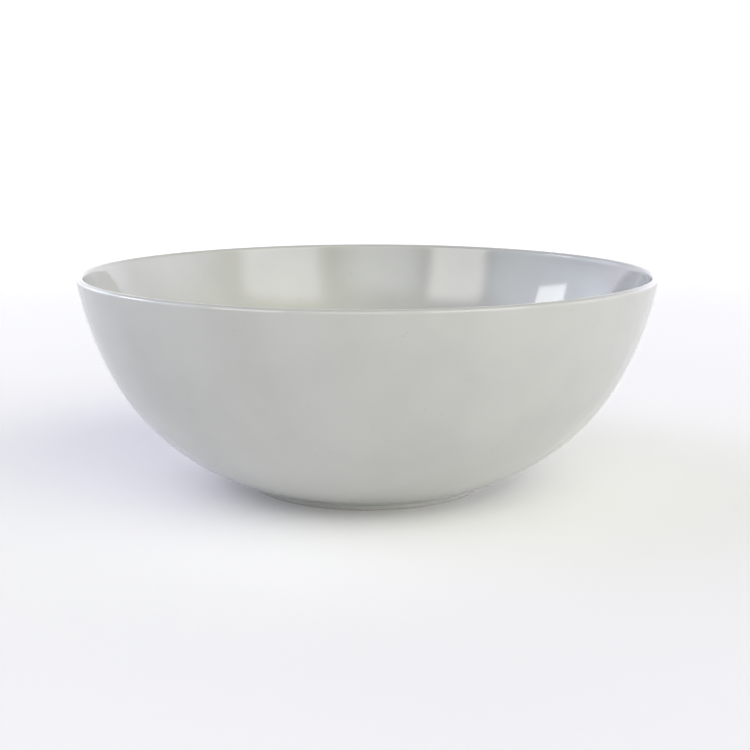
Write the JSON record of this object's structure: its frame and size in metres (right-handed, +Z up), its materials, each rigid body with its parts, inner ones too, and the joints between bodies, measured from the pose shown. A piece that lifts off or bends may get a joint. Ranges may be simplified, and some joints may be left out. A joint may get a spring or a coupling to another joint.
{
  "type": "serving bowl",
  "caption": "Wide round serving bowl in glossy light grey-white glazed ceramic, with a thin rounded lip, a smooth curved wall and a low foot ring.",
  "frame": {"origin": "centre of the circle on which the foot ring stands", "axes": "+Z up along the bowl's axis of revolution; X and Y are any two square directions across it"},
  "size_m": [0.25, 0.25, 0.094],
  "materials": {
    "glaze": "gloss"
  },
  "bodies": {
    "root": {"bowl": "glaze"}
  },
  "joints": []
}
